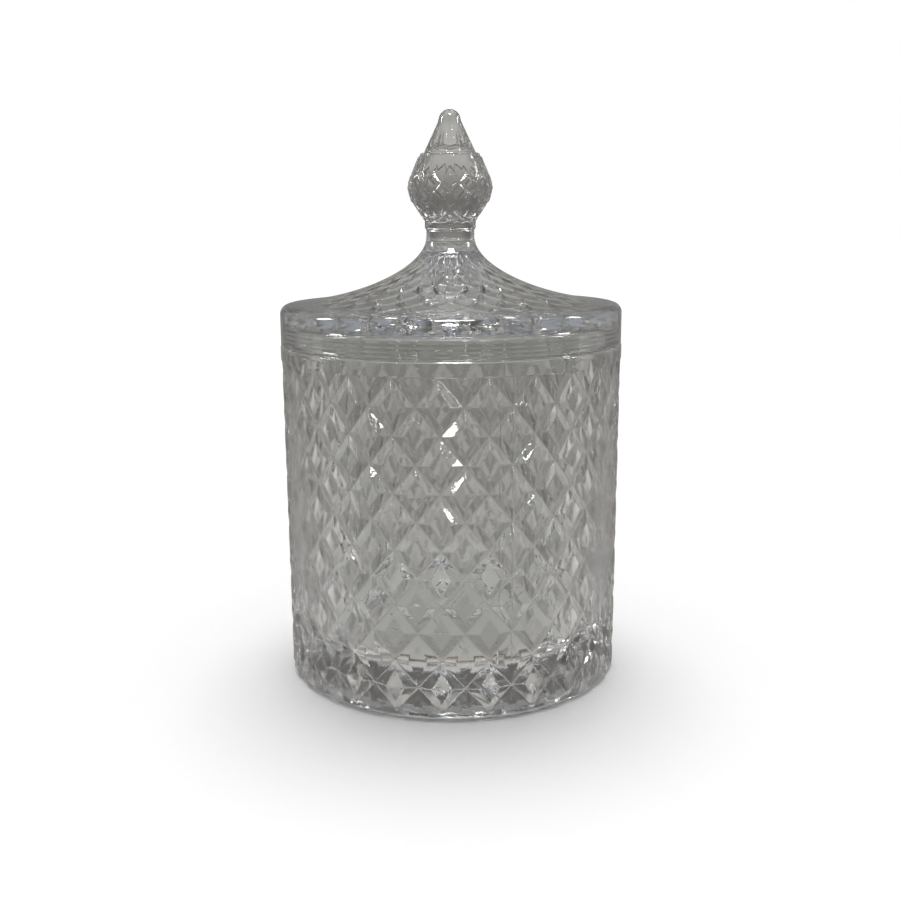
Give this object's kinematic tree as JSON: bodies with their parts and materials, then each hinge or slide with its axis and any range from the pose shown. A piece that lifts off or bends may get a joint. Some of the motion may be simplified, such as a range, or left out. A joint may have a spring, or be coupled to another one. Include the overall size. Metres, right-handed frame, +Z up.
{
  "type": "powder jar",
  "caption": "Round pressed-glass powder jar with a diamond-cut body and a lift-off domed lid whose knob is a faceted ball under a small spire.",
  "frame": {"origin": "centre of the foot ring, on the surface that the jar stands on", "axes": "+Z up along the axis of the jar and the lid, -Y towards the viewer"},
  "size_m": [0.0903, 0.0902, 0.1483],
  "materials": {
    "jar_glass": "clear pressed glass, fire-polished",
    "lid_glass": "clear pressed glass, fire-polished"
  },
  "bodies": {
    "jar": {"jar": "jar_glass"},
    "lid": {"lid": "lid_glass"}
  },
  "joints": [
    {"name": "lid_lift", "type": "slide", "parent": "jar", "child": "lid", "axis": [0, 0, 1], "range_m": [0, 0.08]}
  ]
}
